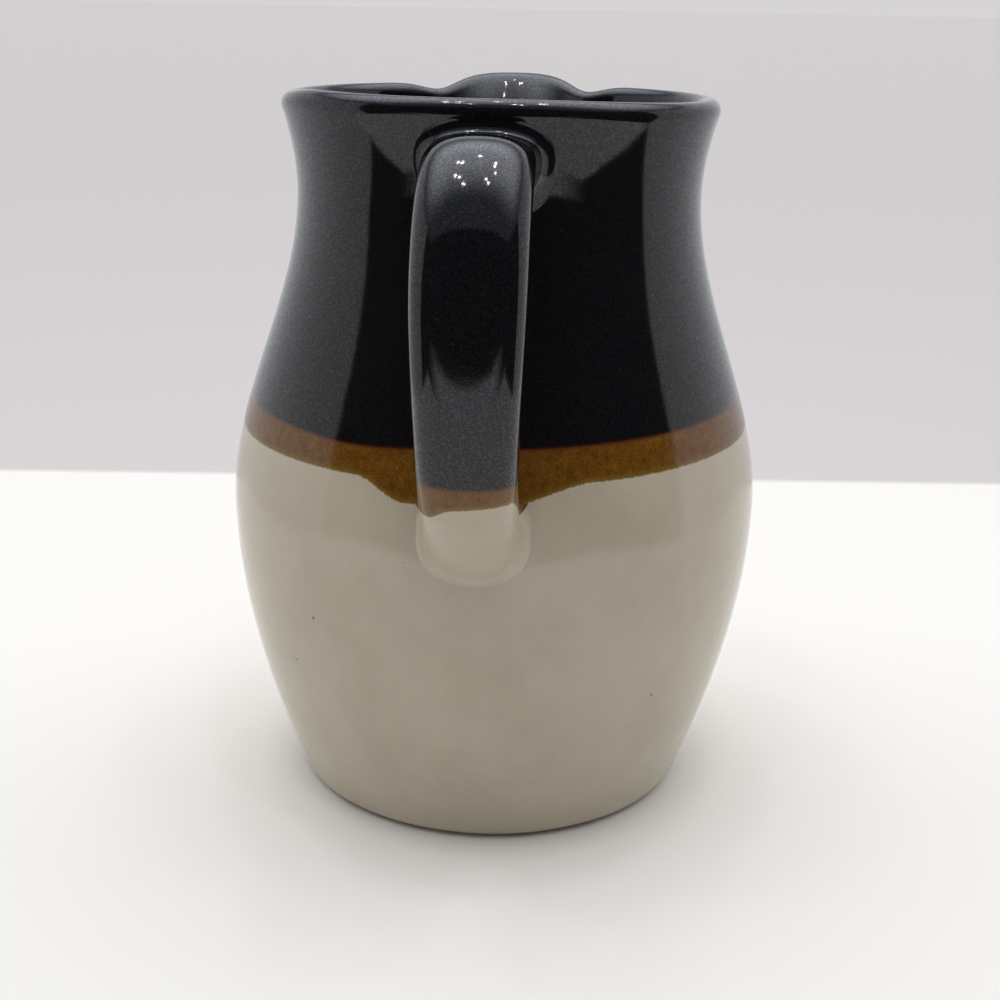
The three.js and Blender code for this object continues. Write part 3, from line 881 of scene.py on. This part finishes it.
def cream_glaze():
    material, shader, place = new_finish("cream_glaze")
    cloud = grain(place, *CREAM_CLOUD).between(*CREAM_CLOUDED)
    fine = grain(place, *CREAM_MOTTLE).between(*CREAM_MOTTLED)
    colour = (CLOUD_SHARE * cloud + (1 - CLOUD_SHARE) * fine).mix(CREAM, CREAM_SHADE)
    iron = specks(place, *IRON_SPOTS) + specks(place + IRON_DUST_SHIFT, *IRON_DUST)
    feed((iron * IRON_STRENGTH).mix(colour, IRON_SPECK), shader.inputs["Base Color"])
    feed(gloss(place, *CREAM_GLOSS), shader.inputs["Roughness"])
    feed(bumped(grains(place, CREAM_SKIN)), shader.inputs["Normal"])
    return material


def rolled(above, width, start):
    """From a start at a coat's edge to 1 at a width from it, as a quarter round."""
    return np.sqrt(np.clip(1 - (1 - np.minimum(above / width, 1)) ** 2, start**2, 1))


def cream_front(above):
    return -GLAZE * (1 - rolled(above, CREAM_ROLL, CREAM_ROLL_START))


def handle_skin(above):
    return np.zeros_like(above)


def on_clay(above):
    return np.full_like(above, HAIR - GLAZE)


cream_finish = cream_glaze()
coat(
    "cream_glaze",
    turned,
    foot_edge,
    arc_at(black_edge) + LAP,
    CREAM_ROWS,
    cream_front,
    on_clay,
    cream_finish,
)
handle_black_arc = strap_arc_at(HANDLE_BLACK_EDGE)
handle_amber_arc = evened(strap_arc_at(handle_amber_edge), strap_inner)
coat(
    "handle_cream_glaze",
    on_strap,
    np.zeros(STRAP_COLUMNS),
    handle_black_arc + LAP,
    HANDLE_CREAM_ROWS,
    handle_skin,
    on_clay,
    cream_finish,
)

# The amber band
# Where the black dip thins out over the cream it fires to a mottled amber brown with a feathered edge.
# It lies on the cream as a film, sags behind the tongue and drips down the tongue's left edge.
FILM = 0.00005  # how proud each later coat is of the one before it
AMBER_BACK = 0.000004
AMBER_SWELL = 0.0016  # how far from its edge the film is full
AMBER_RUN_ON = 0.003  # of the film past the strap's foot on to the belly
AMBER_ROWS = 24
AMBER = (0.128, 0.051, 0.005)
AMBER_DARK = (0.072, 0.025, 0.002)
AMBER_LIGHT = (0.20, 0.095, 0.012)
AMBER_MOTTLE = ((0.00038, 2.0, 0.6), (0.0024, 3.0, 0.4))
DARK_TO_AMBER = (0.34, 0.5)
AMBER_TO_LIGHT = (0.5, 0.68)
RED_LINE = (0.075, 0.02, 0.006)
RED_LINE_STRENGTH = 0.8
RED_LINE_WIDTH = 0.0009
OLIVE_FRINGE = (0.17, 0.11, 0.018)
OLIVE_STRENGTH = 0.7
OLIVE_FADE = (0.0006, 0.0022)
FEATHER = 0.0005
FEATHER_STRETCH = (1.0, 1.0, 0.3)
FEATHER_DETAIL = 3.0
FEATHER_FADE = (0.0001, 0.0007)
AMBER_GLOSS = (0.1, 0.1, 0.0009, 2.0)
AMBER_SKIN = ((0.012, 2.0, 0.00005), (0.0006, 2.0, 0.000006))


def marked(place, mark):
    """A measure that the mesh carries at each point."""
    return place.node("ShaderNodeAttribute", {"attribute_name": mark}, {}, "Fac")


def amber_glaze():
    material, shader, place = new_finish("amber_glaze")
    above = marked(place, "above_edge")
    below = marked(place, "below_edge") - LAP
    mottle = grains(place, AMBER_MOTTLE)
    colour = mottle.between(*DARK_TO_AMBER).mix(AMBER_DARK, AMBER)
    colour = mottle.between(*AMBER_TO_LIGHT).mix(colour, AMBER_LIGHT)
    red = RED_LINE_STRENGTH * (1 - below.between(0, RED_LINE_WIDTH))
    colour = red.mix(colour, RED_LINE)
    feathers = grain(place * FEATHER_STRETCH, FEATHER, FEATHER_DETAIL)
    ragged = above + (feathers - 0.5) * (2 * FEATHER)
    olive = OLIVE_STRENGTH * (1 - ragged.between(*OLIVE_FADE))
    colour = olive.mix(colour, OLIVE_FRINGE)
    feed(ragged.between(*FEATHER_FADE).mix(CREAM, colour), shader.inputs["Base Color"])
    feed(gloss(place, *AMBER_GLOSS), shader.inputs["Roughness"])
    feed(bumped(grains(place, AMBER_SKIN)), shader.inputs["Normal"])
    return material


def amber_front(above):
    return HAIR + FILM * rise(above, 0, AMBER_SWELL)


def on_cream(above):
    return np.full_like(above, AMBER_BACK)


amber_finish = amber_glaze()
coat(
    "amber_glaze",
    turned,
    arc_at(cream_edge),
    arc_at(black_edge) + LAP,
    AMBER_ROWS,
    amber_front,
    on_cream,
    amber_finish,
)
coat(
    "handle_amber_glaze",
    on_strap,
    handle_amber_arc,
    handle_black_arc + LAP,
    AMBER_ROWS,
    amber_front,
    on_cream,
    amber_finish,
    AMBER_RUN_ON * (1 - rise(handle_amber_arc, 0, AMBER_RUN_ON)),
)

# The black glaze
# The upper half is dipped upside down in a glossy black slip glaze, over the lip and a little way inside.
# Its edge ends in a soft roll on the amber, and its skin has a fine grain and a few pinholes.
LINER_EDGE_DROP = 0.009
BLACK_ROLL = 0.0009
BLACK_ROLL_START = 0.1
BLACK_BACK = 0.9 * FILM  # where it lies on the coats under it
BLACK_ROWS = 150
BLACK = (0.0042, 0.0036, 0.0045)
BLACK_BROWN = (0.0062, 0.0044, 0.0045)
BROWN_CLOUD = (0.012, 3.0)
BROWN_CLOUDED = (0.42, 0.75)
CRYSTAL_GREY = (0.0095, 0.0095, 0.011)
CRYSTAL_GRAIN = (0.00042, 1.0)
CRYSTAL_RANGE = (0.42, 0.72)
CRYSTAL_COAT = 0.65
EDGE_RED = (0.04, 0.011, 0.004)
EDGE_RED_STRENGTH = 0.85
EDGE_RED_FADE = (0.0001, 0.0007)
BLACK_GLOSS = (0.02, 0.1, 0.0007, 3.0)
BLACK_SHINE = 0.4
PINHOLES = (0.0032, 0.00022, 0.35)
PINHOLE_DEPTH = 0.00004
BLACK_SKIN = ((0.014, 2.0, 0.00006), (0.00042, 2.0, 0.000006))


def black_glaze():
    material, shader, place = new_finish("black_glaze")
    cloud = grain(place, *BROWN_CLOUD).between(*BROWN_CLOUDED)
    crystals = grain(place, *CRYSTAL_GRAIN).between(*CRYSTAL_RANGE)
    colour = crystals.mix(cloud.mix(BLACK, BLACK_BROWN), CRYSTAL_GREY)
    red = EDGE_RED_STRENGTH * (1 - marked(place, "above_edge").between(*EDGE_RED_FADE))
    feed(red.mix(colour, EDGE_RED), shader.inputs["Base Color"])
    feed(gloss(place, *BLACK_GLOSS), shader.inputs["Roughness"])
    feed(CRYSTAL_COAT * crystals, shader.inputs["Coat Weight"])
    shader.inputs["Specular IOR Level"].default_value = BLACK_SHINE
    pits = specks(place, *PINHOLES) * PINHOLE_DEPTH
    feed(bumped(grains(place, BLACK_SKIN) - pits), shader.inputs["Normal"])
    return material


def black_front(above):
    return FILM + FILM * rolled(above, BLACK_ROLL, BLACK_ROLL_START)


def over_laps(above):
    return BLACK_BACK + (HAIR - GLAZE - BLACK_BACK) * rise(above, LAP, 2 * LAP)


black_finish = black_glaze()
around = np.ones(COLUMNS)
lip_inside_arc = lip_crest_arc + np.pi / 2 * lip_radius + LINER_EDGE_DROP - lip_radius
coat(
    "dark_glaze",
    turned,
    arc_at(black_edge),
    lip_inside_arc * around,
    BLACK_ROWS,
    black_front,
    over_laps,
    black_finish,
)
coat(
    "handle_dark_glaze",
    on_strap,
    handle_black_arc,
    strap_arc[-1],
    BLACK_ROWS,
    black_front,
    over_laps,
    black_finish,
)

# The liner glaze
# The inside is filled with a brown-black glaze and poured out, so it coats wall and floor to one pool.
# It meets the black dip a little under the lip.
LINER_LAP = 0.4 * LAP
LINER_LAST_RING = 0.0006
LINER_ROWS = 130
LINER = (0.009, 0.0055, 0.004)
LINER_LIGHT = (0.026, 0.013, 0.007)
STREAK_STRETCH = (1.0, 1.0, 0.25)
STREAK_GRAIN = (0.004, 3.0)
STREAK_RANGE = (0.45, 0.8)
LINER_GLOSS = (0.07, 0.1, 0.0009, 3.0)
LINER_SKIN = ((0.015, 2.0, 0.00008), (0.0008, 3.0, 0.000008))


def liner_glaze():
    material, shader, place = new_finish("liner_glaze")
    streaks = grain(place * STREAK_STRETCH, *STREAK_GRAIN).between(*STREAK_RANGE)
    feed(streaks.mix(LINER, LINER_LIGHT), shader.inputs["Base Color"])
    feed(gloss(place, *LINER_GLOSS), shader.inputs["Roughness"])
    feed(bumped(grains(place, LINER_SKIN)), shader.inputs["Normal"])
    return material


liner_arc = np.linspace(lip_inside_arc - LINER_LAP, outline_arc[-1] - LINER_LAST_RING, LINER_ROWS)
liner_arc = liner_arc[:, None] * around
liner_face = turned(liner_arc, np.full_like(liner_arc, HAIR))
liner_back = turned(liner_arc, np.full_like(liner_arc, HAIR - GLAZE))
liner_rings = np.concatenate([liner_back[::-1], liner_face])
ringed_piece("liner_glaze", liner_rings, liner_glaze())
